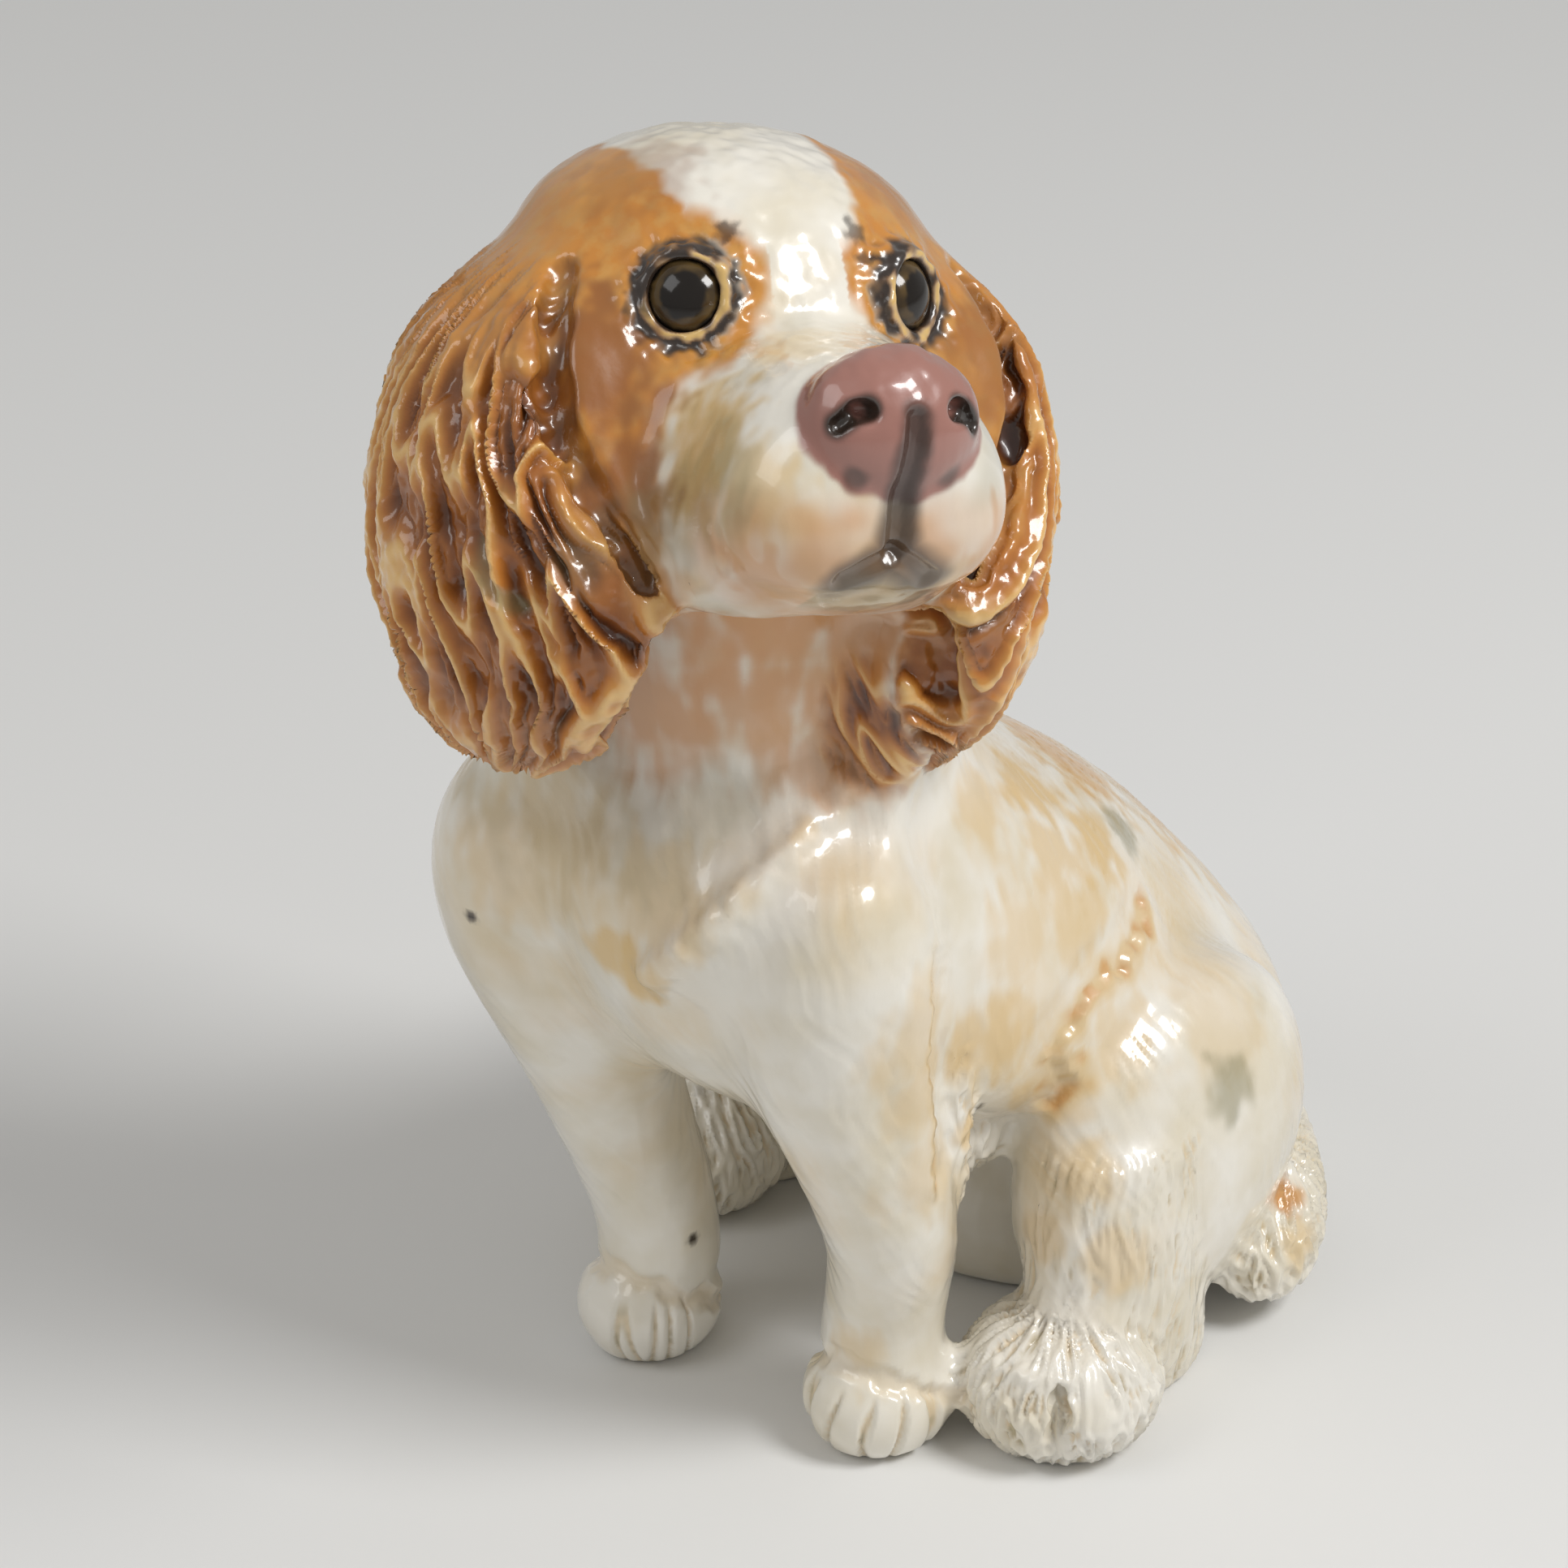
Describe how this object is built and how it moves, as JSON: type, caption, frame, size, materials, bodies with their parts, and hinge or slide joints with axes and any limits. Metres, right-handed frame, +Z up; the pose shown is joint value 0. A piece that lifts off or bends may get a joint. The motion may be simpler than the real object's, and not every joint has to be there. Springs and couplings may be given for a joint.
{
  "type": "ceramic dog figure",
  "caption": "Hand-modelled glazed ceramic figure of a sitting spaniel, hollow, with carved hanging ears and its head turned to its left, standing free on a flat seat and paws.",
  "frame": {"origin": "middle of the figure's bounding box on the ground it stands on", "axes": "+Z up; -Y the way the body faces; +X towards the dog's own left"},
  "size_m": [0.085, 0.116, 0.1491],
  "materials": {
    "cream_glaze": "gloss",
    "patched_glaze": "gloss",
    "chestnut_glaze": "gloss",
    "mauve_glaze": "gloss",
    "dark_glaze": "gloss"
  },
  "bodies": {
    "root": {"belly_tuft": "cream_glaze", "chest_lock": "cream_glaze", "head_shell": "patched_glaze", "left_ear": "chestnut_glaze", "left_elbow_feather": "cream_glaze", "left_eyeball": "dark_glaze", "left_eyelid": "patched_glaze", "left_foreleg": "cream_glaze", "left_forepaw": "cream_glaze", "left_haunch": "cream_glaze", "left_hind_paw": "cream_glaze", "left_shank": "cream_glaze", "lower_jaw": "cream_glaze", "muzzle": "cream_glaze", "neck": "cream_glaze", "nose_pad": "mauve_glaze", "right_ear": "chestnut_glaze", "right_elbow_feather": "cream_glaze", "right_eyeball": "dark_glaze", "right_eyelid": "patched_glaze", "right_foreleg": "cream_glaze", "right_forepaw": "cream_glaze", "right_haunch": "cream_glaze", "right_hind_paw": "cream_glaze", "right_shank": "cream_glaze", "tail": "cream_glaze", "torso_shell": "cream_glaze"}
  },
  "joints": []
}
